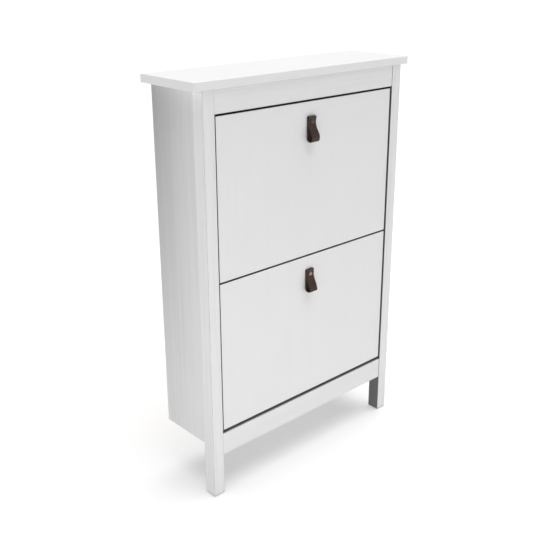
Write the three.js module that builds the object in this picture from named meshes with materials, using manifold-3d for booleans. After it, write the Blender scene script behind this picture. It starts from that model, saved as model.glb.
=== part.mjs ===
// Wall-fixed shoe cabinet with two tilt-out compartments, one above the other.
//
// Two square posts carry the front and run down to the floor as the only legs. The side
// panels, the back rails and the hardboard back stop above the skirting board, and the
// cabinet is screwed to the wall through its upper back rail. Each compartment is a flap
// with a two-row shoe bucket behind it, which tilts forward on two pivot pins.
//
// Millimetres. +X is to the right seen from the front, +Y points to the wall, +Z is up.
// The origin is on the floor, in the middle of the object's width and depth.

import * as THREE from "three";
import { mergeVertices } from "three/addons/utils/BufferGeometryUtils.js";
import Module from "manifold-3d";

const wasm = await Module();
wasm.setup();

// ---------------------------------------------------------------- driving dimensions

const SEAM = 0.3; // gap left between two pieces that touch
const ROUND_SIDES = 16;

// carcass
const HEIGHT = 1180;
const TOP_WIDTH = 800;
const BODY_DEPTH = 220; // front face of the posts to the wall
const TOP_THICKNESS = 22;
const TOP_SIDE_OVERHANG = 27;
const TOP_FRONT_OVERHANG = 4;
const POST_WIDTH = 36;
const SIDE_PANEL_THICKNESS = 16;
const SIDE_PANEL_SETBACK = 5; // in from the outer face of the post
const SIDE_PANEL_BOTTOM = 158;
const RAIL_THICKNESS = 20;
const RAIL_SETBACK = 1; // behind the front face of the posts
const TOP_RAIL_HEIGHT = 61;
const BOTTOM_RAIL_BOTTOM = 127;
const BOTTOM_RAIL_HEIGHT = 67;
const BACK_RAIL_THICKNESS = 15;
const BACK_RAIL_HEIGHT = 60;
const BACK_PANEL_THICKNESS = 3;
const BOTTOM_BOARD_THICKNESS = 12;

// small carcass parts
const GLIDE_THICKNESS = 2;
const GLIDE_MARGIN = 3;
const DOWEL_RADIUS = 4;
const DOWEL_LENGTH = 30;
const WALL_PLATE = { width: 40, height: 30, thickness: 2, fromMiddle: 280 };
const WALL_SCREW_RADIUS = 3.2;

// flaps
const FLAP_THICKNESS = 18;
const FLAP_RECESS = 3; // behind the front face of the posts
const FLAP_SIDE_GAP = 5;
const FLAP_TOP_GAP = 6;
const SWING_CLEARANCE_MIDDLE = 1;
const SWING_CLEARANCE_BOTTOM = 6;
const OPEN_ANGLE = THREE.MathUtils.degToRad(48);

// pivots
const PIVOT_HEIGHT = 80; // above the bottom edge of the flap
const PIN_RADIUS = 4;
const PIN_HOLE_TO_FLANGE = 0.8; // plate left between the pin and its screw flange
const PIN_COLLAR = { radius: 6.5, thickness: 1.6 };
const BUSH_WALL = 1.6;
const BUSH_LENGTH = 14;
const BUSH_FLANGE = { radius: 8.5, thickness: 1.5 };
const WOOD_BEHIND_BUSH = 4.7; // what the post keeps behind the bush
const RUNNING_GAP = 0.4; // all round a pin in its bush
const PIN_END_GAP = 2; // from the pin's end to the blind end of its hole
const TURNED_CHAMFER = 0.8;

// buckets
const PLATE_THICKNESS = 5;
const PLATE_INSET = 4; // in from the side edge of the flap
const PLATE_BOTTOM_SETBACK = 10;
const PLATE_TOP_SETBACK = 32;
const PLATE_MARGIN = 5; // plate beyond its outermost rib
const PLATE_BACK_CLEARANCE = 2.4;
const FLANGE = { width: 18, thickness: 3, endSetback: 6 };
const BOARD_THICKNESS = 3;
const BOARD_LEAN = THREE.MathUtils.degToRad(6.1);
const GROOVE_CLEARANCE = 0.3;
const RIB = { thickness: 3, height: 9 };
const FRONT_POCKET_DEPTH = 72;
const FLOOR_ABOVE_PLATE_BOTTOM = 10;
const REAR_FLOOR_STEP = 40; // rear pocket floor above the front one
const DIVIDER_BELOW_FLOOR = 2; // a leaning board's foot, below the floor that it meets
const REAR_BOARD_BELOW_FLOOR = 4;
const FLOOR_PLAY = { side: 0.5, front: 1.7, leaning: 1.2 }; // round the boards in their plates
const DIVIDER_TOP_SETBACK = 182;
const REAR_BOARD_TOP_SETBACK = 162;

// the pin that runs in an arc slot of each plate, and stops the flap open and shut
const GUIDE_PIN_RADIUS = 4;
const GUIDE_PIN_SHOULDER = { radius: 7, thickness: 2 };
const GUIDE_PIN_SEAT = 9;
const GUIDE_PIN_SHORT_OF_WEB = 1.5; // from the pin's tip to the far face of the slotted web
const GUIDE_RADIUS = 120; // pivot to slot
const GUIDE_SHUT_ANGLE = THREE.MathUtils.degToRad(40);
const GUIDE_CLEARANCE = 1; // all round the pin in its slot
const GUIDE_END_PLAY = 0.5; // at each end of the slot

// plate screws
const SCREW = { shank: 1.6, length: 14, point: 3, head: 3.6, headRim: 1, headHeight: 2.2 };
const PILOT_BEYOND_SCREW = 0.5;
const SCREW_CLEARANCE = 0.4;
const SCREW_END_SETBACK = 24;

// leather pulls
const STRAP_WIDTH = 30;
const STRAP_THICKNESS = 2.8;
const STRAP_ABOVE_SCREW = 14;
const PULL_FROM_FLAP_TOP = 40;
const LOOP_DROP = 55.5; // screw to the lowest point of the strap's middle line
const LOOP_DEPTH = 19; // back leaf to front leaf at the widest
const PULL_SCREW = { shank: 2.4, head: 6, headHeight: 3, rim: 0.6, shortOfFlapBack: 2 };
const SLEEVE = { radius: 3.5, length: 15, flange: 7, flangeThickness: 1.5 };

// ---------------------------------------------------------------- places that follow

const bodyHalfWidth = TOP_WIDTH / 2 - TOP_SIDE_OVERHANG;
const postInner = bodyHalfWidth - POST_WIDTH;
const panelOuter = bodyHalfWidth - SIDE_PANEL_SETBACK;
const panelInner = panelOuter - SIDE_PANEL_THICKNESS;
const underTop = HEIGHT - TOP_THICKNESS;

const strapBack = SEAM + STRAP_THICKNESS / 2;
const pullReach = strapBack + LOOP_DEPTH + STRAP_THICKNESS / 2 - FLAP_RECESS;
const frontY = (pullReach - BODY_DEPTH) / 2;
const wallY = frontY + BODY_DEPTH;

const pivotBehindFlap = SEAM + FLANGE.thickness + PIN_HOLE_TO_FLANGE + SEAM + PIN_RADIUS;
const pivotToFlapFront = FLAP_THICKNESS + pivotBehindFlap;
const pivotY = frontY + FLAP_RECESS + pivotToFlapFront;
const bushRadius = PIN_RADIUS + RUNNING_GAP + BUSH_WALL;
const postDepth = pivotY - frontY + bushRadius + SEAM + WOOD_BEHIND_BUSH;

const topRailBottom = underTop - TOP_RAIL_HEIGHT;
const bottomRailTop = BOTTOM_RAIL_BOTTOM + BOTTOM_RAIL_HEIGHT;
const swingDrop = Math.hypot(pivotToFlapFront, PIVOT_HEIGHT) - PIVOT_HEIGHT;
const middleGap = swingDrop + SWING_CLEARANCE_MIDDLE;
const bottomGap = swingDrop + SWING_CLEARANCE_BOTTOM;
const flapHeight = (topRailBottom - bottomRailTop - FLAP_TOP_GAP - middleGap - bottomGap) / 2;
const flapHalfWidth = postInner - FLAP_SIDE_GAP;
const flapBottoms = {
  lower: bottomRailTop + bottomGap,
  upper: bottomRailTop + bottomGap + flapHeight + middleGap,
};
const backPanelFront = wallY - SEAM - BACK_PANEL_THICKNESS;
const backRailFront = backPanelFront - SEAM - BACK_RAIL_THICKNESS;

// The bucket's side view: u runs back from the pivot and v runs up from it.
const flapBackU = -pivotBehindFlap;
const flapFrontU = flapBackU - FLAP_THICKNESS;
const flapTopV = flapHeight - PIVOT_HEIGHT;
const plateFrontU = flapBackU + SEAM;
const plateBottomV = PLATE_BOTTOM_SETBACK - PIVOT_HEIGHT;
const plateTopV = flapTopV - PLATE_TOP_SETBACK;
const plateBackU = backRailFront - pivotY - PLATE_BACK_CLEARANCE;
const plateOuterX = flapHalfWidth - PLATE_INSET;
const plateInnerX = plateOuterX - PLATE_THICKNESS;
const ribReach = BOARD_THICKNESS / 2 + GROOVE_CLEARANCE + RIB.thickness;

const floorV = plateBottomV + FLOOR_ABOVE_PLATE_BOTTOM;
const rearFloorV = floorV + REAR_FLOOR_STEP;
const leaning = (foot, topV) => [
  foot,
  [foot[0] + (topV - foot[1]) * Math.tan(BOARD_LEAN), topV],
];
const dividerFoot = [flapBackU + FRONT_POCKET_DEPTH, floorV - DIVIDER_BELOW_FLOOR];
const divider = leaning(dividerFoot, flapTopV - DIVIDER_TOP_SETBACK);
const rearTopV = flapTopV - REAR_BOARD_TOP_SETBACK;
const rearTopU = plateBackU - PLATE_MARGIN - ribReach;
const rearFootV = rearFloorV - REAR_BOARD_BELOW_FLOOR;
const rearBoard = leaning([rearTopU - (rearTopV - rearFootV) * Math.tan(BOARD_LEAN), rearFootV], rearTopV);
const boardU = ([foot], v) => foot[0] + (v - foot[1]) * Math.tan(BOARD_LEAN);
const floorEnd = ribReach + FLOOR_PLAY.leaning; // from a leaning board's middle to a floor's edge
const frontFloor = [
  [plateFrontU + FLANGE.thickness + FLOOR_PLAY.front, floorV],
  [divider[0][0] - floorEnd, floorV],
];
const rearFloor = [
  [boardU(divider, rearFloorV) + floorEnd, rearFloorV],
  [boardU(rearBoard, rearFloorV) - floorEnd, rearFloorV],
];
const slotHalf = GUIDE_PIN_RADIUS + GUIDE_CLEARANCE;

// ---------------------------------------------------------------- finishes

const finish = (color, roughness, metalness = 0) =>
  new THREE.MeshStandardMaterial({ color, roughness, metalness });
const framePaint = finish("#e6e6e4", 0.5);
const flapPaint = finish("#e9e9e8", 0.42);
const hardboard = finish("#e4e2dc", 0.7);
const plastic = finish("#d4d5d6", 0.5);
const beech = finish("#c9a878", 0.7);
const steel = finish("#a9abad", 0.35, 1);
const copper = finish("#b87352", 0.32, 1);
const leather = finish("#3e2a24", 0.6);

// ---------------------------------------------------------------- shape helpers

/** A closed three.js geometry as a solid that can be cut or joined. */
function solidOf(geometry) {
  const bare = geometry.index ? geometry.toNonIndexed() : geometry.clone();
  bare.deleteAttribute("normal");
  bare.deleteAttribute("uv");
  const merged = mergeVertices(bare, 1e-4);
  return new wasm.Manifold(
    new wasm.Mesh({
      numProp: 3,
      vertProperties: merged.attributes.position.array,
      triVerts: new Uint32Array(merged.index.array),
    }),
  );
}

/** A solid as a three.js geometry with flat faces. */
function geometryOf(solid) {
  const { vertProperties, triVerts } = solid.getMesh();
  const indexed = new THREE.BufferGeometry();
  indexed.setAttribute("position", new THREE.BufferAttribute(vertProperties, 3));
  indexed.setIndex(new THREE.BufferAttribute(triVerts, 1));
  const geometry = indexed.toNonIndexed();
  geometry.computeVertexNormals();
  return geometry;
}

const cut = (geometry, tools) =>
  geometryOf(tools.reduce((left, tool) => left.subtract(solidOf(tool)), solidOf(geometry)));
const join = (geometry, others) =>
  geometryOf(others.reduce((whole, other) => whole.add(solidOf(other)), solidOf(geometry)));

/** A box between two corners. */
function block([x0, y0, z0], [x1, y1, z1]) {
  const box = new THREE.BoxGeometry(x1 - x0, y1 - y0, z1 - z0);
  return box.translate((x0 + x1) / 2, (y0 + y1) / 2, (z0 + z1) / 2);
}

const ABOUT = {
  x: new THREE.Matrix4().makeRotationZ(-Math.PI / 2), // turns +Y to +X
  y: new THREE.Matrix4(),
  minusY: new THREE.Matrix4().makeRotationX(Math.PI), // turns +Y to -Y
};

/** A round bar that starts at a point and runs along an axis of ABOUT. */
function bar(radius, length, axis, [x, y, z]) {
  const rod = new THREE.CylinderGeometry(radius, radius, length, ROUND_SIDES).translate(0, length / 2, 0);
  return rod.applyMatrix4(ABOUT[axis]).translate(x, y, z);
}

/** A turned part: (radius, distance along the axis) pairs, from the axis and back to it. */
function turned(profile, axis, segments = ROUND_SIDES) {
  const points = profile.map(([r, along]) => new THREE.Vector2(r, along));
  return new THREE.LatheGeometry(points, segments).applyMatrix4(ABOUT[axis]);
}

const PROFILE_TO_SIDE_VIEW = new THREE.Matrix4().makeBasis(
  new THREE.Vector3(0, 1, 0),
  new THREE.Vector3(0, 0, 1),
  new THREE.Vector3(1, 0, 0),
);

/** A (u, v) side view drawn out along X from x0 to x1. */
function alongX(shape, x0, x1) {
  const drawn = new THREE.ExtrudeGeometry(shape, { depth: x1 - x0, bevelEnabled: false, curveSegments: 6 });
  return drawn.applyMatrix4(PROFILE_TO_SIDE_VIEW).translate(x0, 0, 0);
}

/** A polygon with its corners rounded off. */
function roundedOutline(corners, radius) {
  const shape = new THREE.Shape();
  corners.forEach(([x, y], i) => {
    const here = new THREE.Vector2(x, y);
    const before = new THREE.Vector2(...corners.at(i - 1));
    const after = new THREE.Vector2(...corners[(i + 1) % corners.length]);
    const reach = (end) => Math.min(radius, here.distanceTo(end) / 2.5);
    const from = before.clone().sub(here).setLength(reach(before)).add(here);
    const to = after.clone().sub(here).setLength(reach(after)).add(here);
    if (i) shape.lineTo(from.x, from.y);
    else shape.moveTo(from.x, from.y);
    shape.quadraticCurveTo(x, y, to.x, to.y);
  });
  shape.closePath();
  return shape;
}

/** A straight strip of a thickness whose middle line, in the side view, is [from, to]. */
function strip([from, to], thickness, x0, x1) {
  const run = new THREE.Vector2(to[0] - from[0], to[1] - from[1]);
  const flat = new THREE.BoxGeometry(x1 - x0, run.length(), thickness);
  flat.rotateX(run.angle());
  return flat.translate((x0 + x1) / 2, (from[0] + to[0]) / 2, (from[1] + to[1]) / 2);
}

/** A side-view line moved sideways by a distance. */
const offset = ([from, to], by) => {
  const side = new THREE.Vector2(to[1] - from[1], from[0] - to[0]).setLength(by);
  return [from, to].map(([u, v]) => [u + side.x, v + side.y]);
};

function place(group, name, geometry, material, position = [0, 0, 0]) {
  const mesh = new THREE.Mesh(geometry, material);
  mesh.name = name;
  mesh.position.set(...position);
  group.add(mesh);
  return mesh;
}

/** The right-hand piece as made, and the left-hand one as its mirror image. */
function placePair(group, name, geometry, material, position = [0, 0, 0]) {
  place(group, `right_${name}`, geometry, material, position);
  const [x, y, z] = position;
  place(group, `left_${name}`, geometry, material, [-x, y, z]).scale.x = -1;
}

// ---------------------------------------------------------------- carcass

const pivotZ = (level) => flapBottoms[level] + PIVOT_HEIGHT;
const levels = ["lower", "upper"];
const guidePlace = (level) => [
  pivotY + GUIDE_RADIUS * Math.cos(GUIDE_SHUT_ANGLE),
  pivotZ(level) + GUIDE_RADIUS * Math.sin(GUIDE_SHUT_ANGLE),
];
const railY = frontY + RAIL_SETBACK + RAIL_THICKNESS / 2;
const topRailZ = topRailBottom + TOP_RAIL_HEIGHT / 2;
const bottomRailZ = BOTTOM_RAIL_BOTTOM + BOTTOM_RAIL_HEIGHT / 2;
const railEnd = postInner - SEAM;
const dowelSeat = DOWEL_LENGTH / 2 + SEAM;

function topBoard(group) {
  const from = [-TOP_WIDTH / 2, frontY - TOP_FRONT_OVERHANG, underTop];
  place(group, "top_board", block(from, [TOP_WIDTH / 2, wallY, HEIGHT]), framePaint);
}

/** A front post: blind holes in its inner face take the pivot bushes and the rail dowels. */
function posts(group) {
  const foot = GLIDE_THICKNESS + SEAM;
  const post = block([postInner, frontY, foot], [bodyHalfWidth, frontY + postDepth, underTop - SEAM]);
  const bushHoles = levels.map((level) =>
    bar(bushRadius + SEAM, BUSH_LENGTH + 2, "x", [postInner - 1, pivotY, pivotZ(level)]),
  );
  const dowelHoles = [topRailZ, bottomRailZ].map((z) =>
    bar(DOWEL_RADIUS + SEAM, dowelSeat + 1, "x", [postInner - 1, railY, z]),
  );
  placePair(group, "front_post", cut(post, [...bushHoles, ...dowelHoles]), framePaint);

  const glide = block(
    [postInner + GLIDE_MARGIN, frontY + GLIDE_MARGIN, 0],
    [bodyHalfWidth - GLIDE_MARGIN, frontY + postDepth - GLIDE_MARGIN, GLIDE_THICKNESS],
  );
  placePair(group, "foot_glide", glide, plastic);
}

function sidePanels(group) {
  const panel = block(
    [panelInner, frontY + postDepth + SEAM, SIDE_PANEL_BOTTOM],
    [panelOuter, wallY, underTop - SEAM],
  );
  const seats = levels.map((level) => {
    const [y, z] = guidePlace(level);
    return bar(GUIDE_PIN_RADIUS + SEAM, GUIDE_PIN_SEAT + SEAM + 1, "x", [panelInner - 1, y, z]);
  });
  placePair(group, "side_panel", cut(panel, seats), framePaint);
}

function frontRails(group) {
  const rails = [
    ["top", topRailBottom, underTop - SEAM, topRailZ],
    ["bottom", BOTTOM_RAIL_BOTTOM, bottomRailTop, bottomRailZ],
  ];
  for (const [name, z0, z1, z] of rails) {
    const y0 = frontY + RAIL_SETBACK;
    const rail = block([-railEnd, y0, z0], [railEnd, y0 + RAIL_THICKNESS, z1]);
    const drilled = cut(rail, [
      bar(DOWEL_RADIUS + SEAM, dowelSeat + 1, "x", [railEnd - dowelSeat, railY, z]),
      bar(DOWEL_RADIUS + SEAM, dowelSeat + 1, "x", [-railEnd - 1, railY, z]),
    ]);
    place(group, `${name}_front_rail`, drilled, framePaint);
    const dowel = bar(DOWEL_RADIUS, DOWEL_LENGTH, "x", [-DOWEL_LENGTH / 2, 0, 0]);
    placePair(group, `${name}_rail_dowel`, dowel, beech, [postInner, railY, z]);
  }
}

/** A board that closes the carcass underneath, notched round the two posts. */
function bottomBoard(group) {
  const front = frontY + RAIL_SETBACK + RAIL_THICKNESS + SEAM;
  const behindPost = frontY + postDepth + SEAM;
  const back = backRailFront - SEAM;
  const side = panelInner - SEAM;
  const outline = [
    [railEnd, front],
    [railEnd, behindPost],
    [side, behindPost],
    [side, back],
    [-side, back],
    [-side, behindPost],
    [-railEnd, behindPost],
    [-railEnd, front],
  ].map(([x, y]) => new THREE.Vector2(x, y));
  const board = new THREE.ExtrudeGeometry(new THREE.Shape(outline), {
    depth: BOTTOM_BOARD_THICKNESS,
    bevelEnabled: false,
  });
  place(group, "bottom_board", board, framePaint, [0, 0, SIDE_PANEL_BOTTOM]);
}

/** Three rails and a hardboard back between the side panels. The top rail takes the wall screws. */
function backFrame(group) {
  const end = panelInner - SEAM;
  const wallScrewZ = underTop - SEAM - BACK_RAIL_HEIGHT / 2;
  const wallHoles = [-1, 1].map((side) =>
    bar(WALL_SCREW_RADIUS + SEAM, wallY - backRailFront + 2, "y", [
      side * WALL_PLATE.fromMiddle,
      backRailFront - 1,
      wallScrewZ,
    ]),
  );
  const middle = flapBottoms.upper - middleGap / 2;
  const rails = {
    upper: underTop - SEAM - BACK_RAIL_HEIGHT,
    middle: middle - BACK_RAIL_HEIGHT / 2,
    lower: SIDE_PANEL_BOTTOM,
  };
  for (const [name, z] of Object.entries(rails)) {
    const rail = block(
      [-end, backRailFront, z],
      [end, backRailFront + BACK_RAIL_THICKNESS, z + BACK_RAIL_HEIGHT],
    );
    place(group, `${name}_back_rail`, name === "upper" ? cut(rail, wallHoles) : rail, framePaint);
  }
  const panel = block(
    [-end, backPanelFront, SIDE_PANEL_BOTTOM],
    [end, backPanelFront + BACK_PANEL_THICKNESS, underTop - SEAM],
  );
  place(group, "back_panel", cut(panel, wallHoles), hardboard);

  const { width, height, thickness, fromMiddle } = WALL_PLATE;
  const plate = block([-width / 2, -thickness, -height / 2], [width / 2, 0, height / 2]);
  const drilled = cut(plate, [bar(WALL_SCREW_RADIUS, thickness + 2, "y", [0, -thickness - 1, 0])]);
  placePair(group, "wall_fixing_plate", drilled, steel, [fromMiddle, backRailFront - SEAM, wallScrewZ]);
}

/** A flanged nylon bush for each pivot pin, and the fixed guide pin of each bucket plate. */
function pivotFittings(group) {
  const bore = PIN_RADIUS + RUNNING_GAP;
  const bush = turned(
    [
      [bore, 0],
      [BUSH_FLANGE.radius, 0],
      [BUSH_FLANGE.radius, BUSH_FLANGE.thickness],
      [bushRadius, BUSH_FLANGE.thickness],
      [bushRadius, BUSH_LENGTH],
      [bore, BUSH_LENGTH],
      [bore, 0],
    ],
    "x",
  );
  const shoulder = panelInner - SEAM - GUIDE_PIN_SHOULDER.thickness;
  const tip = shoulder - plateInnerX - GUIDE_PIN_SHORT_OF_WEB;
  const seatEnd = GUIDE_PIN_SHOULDER.thickness + SEAM + GUIDE_PIN_SEAT;
  const guidePin = turned(
    [
      [0, -tip],
      [GUIDE_PIN_RADIUS - TURNED_CHAMFER, -tip],
      [GUIDE_PIN_RADIUS, TURNED_CHAMFER - tip],
      [GUIDE_PIN_RADIUS, 0],
      [GUIDE_PIN_SHOULDER.radius, 0],
      [GUIDE_PIN_SHOULDER.radius, GUIDE_PIN_SHOULDER.thickness],
      [GUIDE_PIN_RADIUS, GUIDE_PIN_SHOULDER.thickness],
      [GUIDE_PIN_RADIUS, seatEnd],
      [0, seatEnd],
    ],
    "x",
  );
  for (const level of levels) {
    const x = postInner - SEAM - BUSH_FLANGE.thickness;
    placePair(group, `${level}_pivot_bush`, bush, plastic, [x, pivotY, pivotZ(level)]);
    placePair(group, `${level}_guide_pin`, guidePin, steel, [shoulder, ...guidePlace(level)]);
  }
}

// ---------------------------------------------------------------- tilting units

const screwRows = [plateBottomV + SCREW_END_SETBACK, plateTopV - SCREW_END_SETBACK];
const screwX = plateInnerX - FLANGE.width / 2;
const pullV = flapTopV - PULL_FROM_FLAP_TOP - STRAP_ABOVE_SCREW;

/** The flap, with pilot holes for the plate screws and a hole through it for the pull. */
function flapPanel(unit, level) {
  const board = block(
    [-flapHalfWidth, flapFrontU, -PIVOT_HEIGHT],
    [flapHalfWidth, flapBackU, flapTopV],
  );
  const depth = SCREW.length - FLANGE.thickness + PILOT_BEYOND_SCREW;
  const pilots = [-1, 1].flatMap((side) =>
    screwRows.map((v) => bar(SCREW.shank + SEAM, depth + 1, "minusY", [side * screwX, flapBackU + 1, v])),
  );
  const pullHole = bar(SLEEVE.radius + SEAM, FLAP_THICKNESS + 2, "y", [0, flapFrontU - 1, pullV]);
  place(unit, `${level}_flap`, cut(board, [...pilots, pullHole]), flapPaint);
}

/** The slot that the guide pin runs in, as a hole in the plate's side view. */
function guideSlot() {
  const play = GUIDE_END_PLAY / GUIDE_RADIUS;
  const [high, low] = [GUIDE_SHUT_ANGLE + play, GUIDE_SHUT_ANGLE - OPEN_ANGLE - play];
  const at = (angle) => [GUIDE_RADIUS * Math.cos(angle), GUIDE_RADIUS * Math.sin(angle)];
  const slot = new THREE.Path();
  slot.absarc(0, 0, GUIDE_RADIUS + slotHalf, low, high, false);
  slot.absarc(...at(high), slotHalf, high, high + Math.PI, false);
  slot.absarc(0, 0, GUIDE_RADIUS - slotHalf, high, low, true);
  slot.absarc(...at(low), slotHalf, low + Math.PI, low + 2 * Math.PI, false);
  return slot;
}

/** A moulded side plate: slotted web, screw flange behind the flap, and grooves for the boards. */
function bucketPlate() {
  const beyond = ribReach + PLATE_MARGIN;
  const slotLowest = GUIDE_RADIUS * Math.sin(GUIDE_SHUT_ANGLE - OPEN_ANGLE) - slotHalf;
  const step = Math.min(rearFloorV - ribReach, slotLowest) - PLATE_MARGIN;
  const [[dividerFootU]] = divider;
  const [[rearFootU], [rearHeadU, rearHeadV]] = rearBoard;
  const outline = roundedOutline(
    [
      [plateFrontU, plateBottomV],
      [dividerFootU + beyond, plateBottomV],
      [dividerFootU + 2 * beyond, step],
      [rearFootU + beyond, step],
      [rearHeadU + beyond, rearHeadV + PLATE_MARGIN],
      [rearHeadU, rearHeadV + 2 * PLATE_MARGIN],
      [plateFrontU + FLANGE.width, plateTopV],
      [plateFrontU, plateTopV],
    ],
    FLANGE.thickness,
  );
  const pinHole = new THREE.Path();
  pinHole.absarc(0, 0, PIN_RADIUS + SEAM, 0, 2 * Math.PI, true);
  outline.holes.push(pinHole, guideSlot());
  const web = alongX(outline, plateInnerX, plateOuterX);

  const flange = block(
    [plateInnerX - FLANGE.width, plateFrontU, plateBottomV + FLANGE.endSetback],
    [plateInnerX + 1, plateFrontU + FLANGE.thickness, plateTopV - FLANGE.endSetback],
  );
  const beside = BOARD_THICKNESS / 2 + GROOVE_CLEARANCE + RIB.thickness / 2;
  const ribs = [frontFloor, divider, rearFloor, rearBoard].flatMap((line) =>
    [offset(line, -beside), offset(line, beside)].map((middle) =>
      strip(middle, RIB.thickness, plateInnerX - RIB.height, plateInnerX + 1),
    ),
  );
  const holes = screwRows.map((v) =>
    bar(SCREW.shank + SCREW_CLEARANCE, FLANGE.thickness + 2, "y", [screwX, plateFrontU - 1, v]),
  );
  return cut(join(web, [flange, ...ribs]), holes);
}

/** Hardboard floors and uprights that slide into the grooves of the two plates. */
function bucketBoards(unit, level) {
  const reach = plateInnerX - FLOOR_PLAY.side;
  const boards = { front_floor: frontFloor, divider, rear_floor: rearFloor, rear_board: rearBoard };
  for (const [name, line] of Object.entries(boards)) {
    place(unit, `${level}_${name}`, strip(line, BOARD_THICKNESS, -reach, reach), hardboard);
  }
}

/** Steel pivot pins, seated in the plates up to a collar. */
function pivotPins(unit, level) {
  const inner = plateInnerX + SEAM;
  const collar = plateOuterX + SEAM - inner;
  const length = postInner + BUSH_LENGTH - PIN_END_GAP - inner;
  const pin = turned(
    [
      [0, 0],
      [PIN_RADIUS, 0],
      [PIN_RADIUS, collar],
      [PIN_COLLAR.radius, collar],
      [PIN_COLLAR.radius, collar + PIN_COLLAR.thickness],
      [PIN_RADIUS, collar + PIN_COLLAR.thickness],
      [PIN_RADIUS, length - TURNED_CHAMFER],
      [PIN_RADIUS - TURNED_CHAMFER, length],
      [0, length],
    ],
    "x",
  );
  placePair(unit, `${level}_pivot_pin`, pin, steel, [inner, 0, 0]);
}

/** Two pan-head screws in each flange, driven forward into the flap. */
function plateScrews(unit, level) {
  const screw = turned(
    [
      [0, -SCREW.headHeight],
      [SCREW.head - SCREW.headRim, -SCREW.headHeight],
      [SCREW.head, SCREW.headRim - SCREW.headHeight],
      [SCREW.head, 0],
      [SCREW.shank, 0],
      [SCREW.shank, SCREW.length - SCREW.point],
      [0, SCREW.length],
    ],
    "minusY",
  );
  const headSeat = plateFrontU + FLANGE.thickness + SEAM;
  ["low", "high"].forEach((row, i) => {
    placePair(unit, `${level}_${row}_plate_screw`, screw, steel, [screwX, headSeat, screwRows[i]]);
  });
}

/** A leather strap folded into a loop, its two ends held to the flap by one screw. */
function pull(unit, level) {
  const frontLeaf = strapBack + STRAP_THICKNESS + SEAM;
  const swell = LOOP_DEPTH + strapBack;
  const line = new THREE.CatmullRomCurve3(
    [
      [strapBack, STRAP_ABOVE_SCREW],
      [strapBack, -12],
      [strapBack + 0.3, -LOOP_DROP * 0.55],
      [strapBack + 1.2, -LOOP_DROP * 0.86],
      [strapBack + 4.6, -LOOP_DROP],
      [swell - 3.4, -LOOP_DROP + 0.6],
      [swell, -LOOP_DROP * 0.86],
      [swell - 1.6, -LOOP_DROP * 0.62],
      [frontLeaf + 3.4, -LOOP_DROP * 0.34],
      [frontLeaf + 0.4, -LOOP_DROP * 0.14],
      [frontLeaf, 0],
      [frontLeaf, STRAP_ABOVE_SCREW],
    ].map(([out, up]) => new THREE.Vector3(-out, up, 0)),
    false,
    "centripetal",
  );
  const steps = 44; // along the strap
  const edge = (by) =>
    Array.from({ length: steps + 1 }, (_, i) => {
      const way = line.getTangentAt(i / steps);
      const spot = line.getPointAt(i / steps);
      return new THREE.Vector2(spot.x - way.y * by, spot.y + way.x * by);
    });
  const outline = [...edge(-STRAP_THICKNESS / 2), ...edge(STRAP_THICKNESS / 2).reverse()];
  const strap = alongX(new THREE.Shape(outline), -STRAP_WIDTH / 2, STRAP_WIDTH / 2);
  const screwHole = bar(PULL_SCREW.shank + SEAM, 2 * frontLeaf, "minusY", [0, 1, 0]);
  place(unit, `${level}_pull_strap`, cut(strap, [screwHole]), leather, [0, flapFrontU, pullV]);

  const headSeat = frontLeaf + STRAP_THICKNESS / 2 + SEAM;
  const shankEnd = headSeat + FLAP_THICKNESS - PULL_SCREW.shortOfFlapBack;
  const dome = [1, 0.94, 0.8, 0.55, 0.28, 0].map((share) => [
    PULL_SCREW.head * share,
    -PULL_SCREW.rim - (PULL_SCREW.headHeight - PULL_SCREW.rim) * Math.sqrt(1 - share * share),
  ]);
  const screw = turned(
    [
      ...dome.reverse(),
      [PULL_SCREW.head, 0],
      [PULL_SCREW.shank, 0],
      [PULL_SCREW.shank, shankEnd],
      [0, shankEnd],
    ],
    "y",
  );
  place(unit, `${level}_pull_screw`, screw, copper, [0, flapFrontU - headSeat, pullV]);

  const bore = PULL_SCREW.shank + SEAM;
  const sleeve = turned(
    [
      [bore, 0],
      [SLEEVE.flange, 0],
      [SLEEVE.flange, SLEEVE.flangeThickness],
      [SLEEVE.radius, SLEEVE.flangeThickness],
      [SLEEVE.radius, SLEEVE.flangeThickness + SLEEVE.length],
      [bore, SLEEVE.flangeThickness + SLEEVE.length],
      [bore, 0],
    ],
    "minusY",
  );
  const sleeveSeat = flapBackU + SEAM + SLEEVE.flangeThickness;
  place(unit, `${level}_pull_sleeve_nut`, sleeve, copper, [0, sleeveSeat, pullV]);
}

/** One compartment, whose origin is the middle of its pivot axis. */
function tiltingUnit(level) {
  const unit = new THREE.Group();
  unit.position.set(0, pivotY, pivotZ(level));
  flapPanel(unit, level);
  placePair(unit, `${level}_bucket_plate`, bucketPlate(), plastic);
  bucketBoards(unit, level);
  pivotPins(unit, level);
  plateScrews(unit, level);
  pull(unit, level);
  return unit;
}

// ---------------------------------------------------------------- the cabinet

const carcass = new THREE.Group();
topBoard(carcass);
posts(carcass);
sidePanels(carcass);
frontRails(carcass);
bottomBoard(carcass);
backFrame(carcass);
pivotFittings(carcass);

const cabinet = new THREE.Group();
cabinet.add(carcass, tiltingUnit("lower"), tiltingUnit("upper"));

export default cabinet;
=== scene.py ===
"""A wall-fixed shoe cabinet with two tilt-out flaps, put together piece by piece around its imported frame."""

import math

import bmesh
import bpy
from mathutils import Matrix, Vector, noise


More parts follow.
